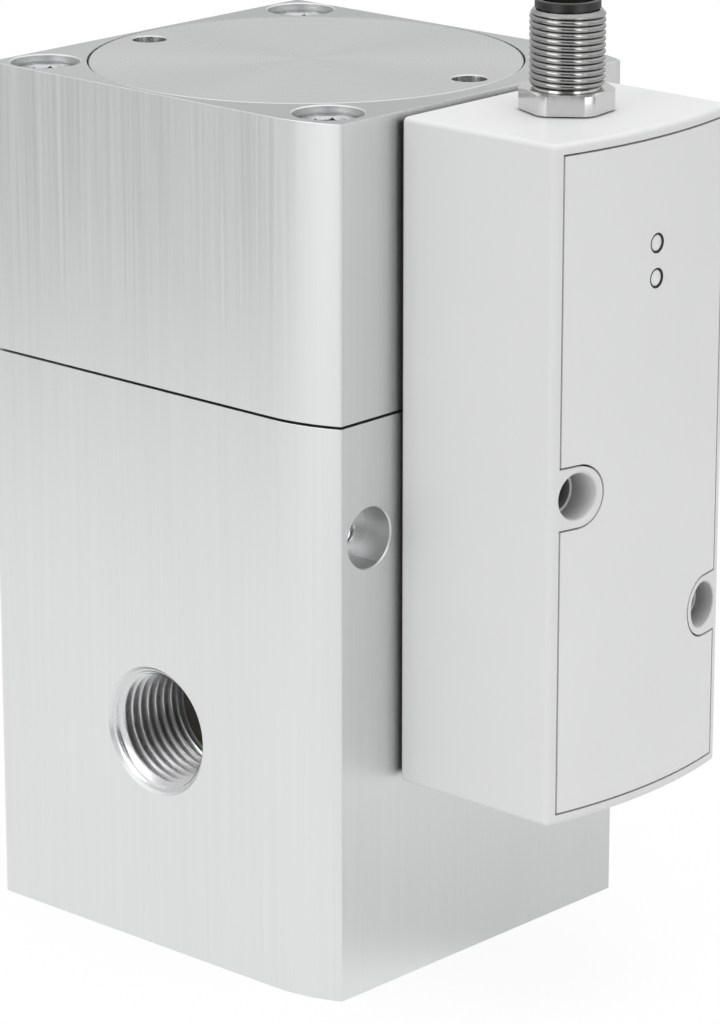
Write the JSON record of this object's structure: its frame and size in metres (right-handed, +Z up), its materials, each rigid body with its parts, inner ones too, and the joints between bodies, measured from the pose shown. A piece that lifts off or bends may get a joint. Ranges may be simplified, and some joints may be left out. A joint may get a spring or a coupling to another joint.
{
  "type": "electro pneumatic pressure regulator",
  "caption": "Two-part aluminium valve block with threaded side ports, a slim crowned electronics housing on one side and a round plug connector on top",
  "frame": {"origin": "centre of the bounding box in X and Y, on the plane that the block stands on", "axes": "+Z up along the block, +X from the block towards the electronics housing, -Y out of the front port"},
  "size_m": [0.1108, 0.074, 0.1626],
  "materials": {
    "block_aluminium": "machined and satin anodised, fine lines",
    "turned_aluminium": "turned, fine concentric lines",
    "plated_steel": "zinc plated",
    "spring_steel": "drawn wire",
    "brass": "turned",
    "contact_plate": "gold coloured plating",
    "copper_winding": "wound copper wire",
    "black_rubber": "matt",
    "housing_grey": "moulded, fine texture",
    "panel_grey": "moulded, satin",
    "black_plastic": "moulded",
    "manifold_plastic": "moulded, glass filled",
    "circuit_board": "green lacquer",
    "light_guide": "milky, polished",
    "connector_metal": "nickel plated"
  },
  "bodies": {
    "block": {"lower_body": "block_aluminium", "upper_body": "block_aluminium", "top_cover": "turned_aluminium", "body_screw_1": "plated_steel", "body_screw_2": "plated_steel", "body_screw_3": "plated_steel", "body_screw_4": "plated_steel", "body_seal_ring": "black_rubber", "cover_o_ring": "black_rubber", "passage_plug": "brass", "bottom_plug": "turned_aluminium", "plug_o_ring": "black_rubber", "guide_o_ring": "black_rubber", "valve_seat": "brass", "stem_bush": "brass", "electronics_housing": "housing_grey", "front_cover": "panel_grey", "housing_gasket": "black_rubber", "housing_screw_1": "plated_steel", "housing_screw_2": "plated_steel", "circuit_board": "circuit_board", "board_screw_1": "plated_steel", "board_screw_2": "plated_steel", "control_chip": "black_plastic", "power_led": "light_guide", "error_led": "light_guide", "power_light": "light_guide", "error_light": "light_guide", "pilot_manifold": "manifold_plastic", "pressure_sensor": "plated_steel", "supply_yoke": "plated_steel", "supply_coil": "copper_winding", "supply_core": "plated_steel", "vent_yoke": "plated_steel", "vent_coil": "copper_winding", "vent_core": "plated_steel", "connector_shell": "connector_metal", "connector_insert": "black_plastic", "connector_pin_1": "contact_plate", "connector_pin_2": "contact_plate", "connector_pin_3": "contact_plate", "connector_pin_4": "contact_plate", "connector_pin_5": "contact_plate", "connector_seal": "black_rubber", "connector_nut": "connector_metal"},
    "piston": {"control_piston": "turned_aluminium", "piston_seal": "black_rubber", "valve_stem": "plated_steel", "stem_nut": "plated_steel"},
    "poppet": {"main_poppet": "brass", "poppet_seal": "black_rubber", "poppet_spring": "spring_steel"},
    "supply_armature": {"supply_plunger": "plated_steel", "supply_plunger_spring": "spring_steel"},
    "vent_armature": {"vent_plunger": "plated_steel", "vent_plunger_spring": "spring_steel"}
  },
  "joints": [
    {"name": "piston_travel", "type": "slide", "parent": "block", "child": "piston", "axis": [0, 0, 1], "range_m": [-0.003, 0], "stiffness_N_per_m": 1500, "springref_m": 0.01},
    {"name": "poppet_travel", "type": "slide", "parent": "block", "child": "poppet", "axis": [0, 0, 1], "range_m": [-0.003, 0], "deforming": ["poppet_spring"]},
    {"name": "supply_plunger_travel", "type": "slide", "parent": "block", "child": "supply_armature", "axis": [0, 0, 1], "range_m": [0, 0.0006], "stiffness_N_per_m": 200, "springref_m": -0.002, "deforming": ["supply_plunger_spring"]},
    {"name": "vent_plunger_travel", "type": "slide", "parent": "block", "child": "vent_armature", "axis": [0, 0, 1], "range_m": [0, 0.0006], "stiffness_N_per_m": 200, "springref_m": -0.002, "deforming": ["vent_plunger_spring"]}
  ],
  "couplings": [
    {"joint": "poppet_travel", "follows": "piston_travel", "ratio": 1}
  ]
}
